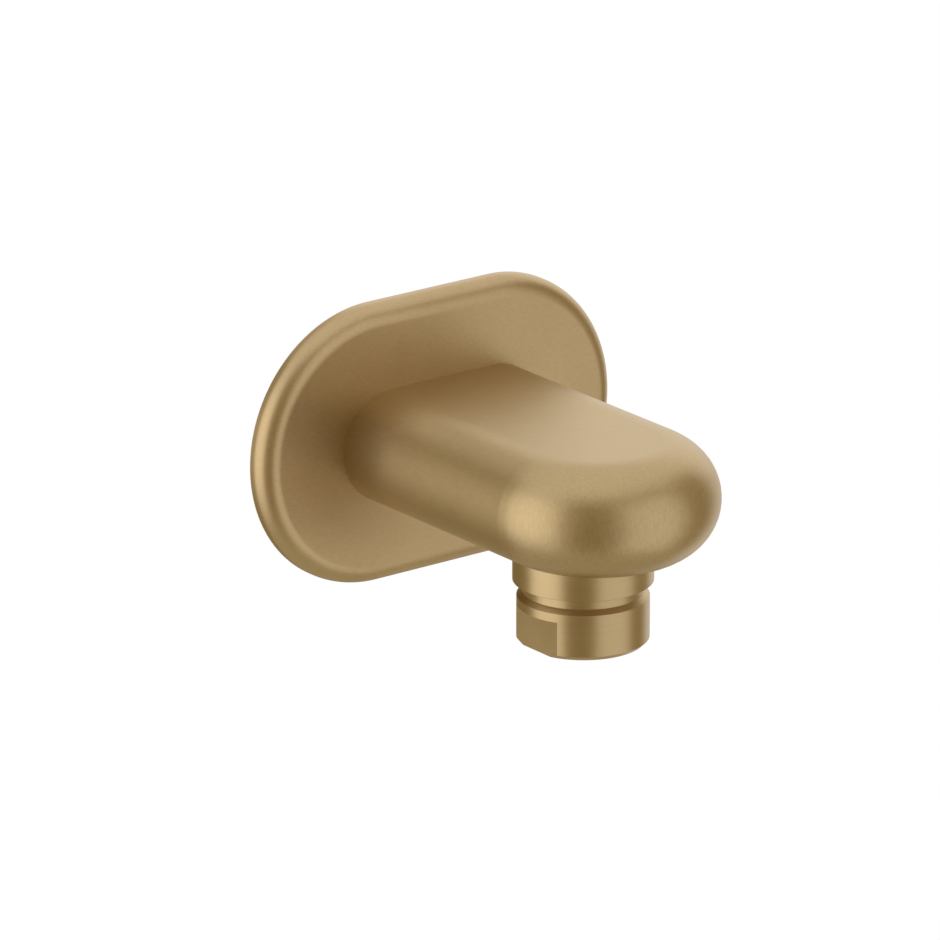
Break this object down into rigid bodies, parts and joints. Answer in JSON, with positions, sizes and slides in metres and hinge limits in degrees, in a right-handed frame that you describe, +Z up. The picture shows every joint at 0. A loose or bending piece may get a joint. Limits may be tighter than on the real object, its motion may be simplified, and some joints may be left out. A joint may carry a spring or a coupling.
{
  "type": "wall outlet elbow",
  "caption": "Wall outlet elbow for a hand-shower hose: pill-shaped plate, flat rounded arm and a downward spigot with wrench flats and a check valve.",
  "frame": {"origin": "centre of the wall plate's back face, on the wall plane", "axes": "+Z up, +Y into the wall, so the arm reaches into the room along -Y and the outlet points along -Z"},
  "size_m": [0.07, 0.0782, 0.0476],
  "materials": {
    "satin_brass": "satin",
    "turned_brass": "satin",
    "raw_brass": "satin",
    "foam_rubber": "matte",
    "seal_rubber": "matte",
    "screw_steel": "satin",
    "white_acetal": "satin",
    "grey_acetal": "satin",
    "spring_steel": "satin"
  },
  "bodies": {
    "fitting": {"elbow_body": "satin_brass", "wall_plate": "satin_brass", "plate_gasket": "foam_rubber", "wall_nipple": "raw_brass", "inlet_o_ring_front": "seal_rubber", "inlet_o_ring_rear": "seal_rubber", "grub_screw": "screw_steel", "outlet_nipple": "turned_brass", "outlet_o_ring": "seal_rubber", "valve_seat_ring": "white_acetal", "valve_o_ring": "seal_rubber", "valve_cage": "white_acetal", "valve_spring": "spring_steel"},
    "poppet": {"valve_poppet": "grey_acetal", "poppet_seal": "seal_rubber"}
  },
  "joints": [
    {"name": "poppet_slide", "type": "slide", "parent": "fitting", "child": "poppet", "axis": [0, 0, -1], "range_m": [0, 0.0022], "stiffness_N_per_m": 200, "springref_m": -0.003, "deforming": ["valve_spring"]}
  ]
}
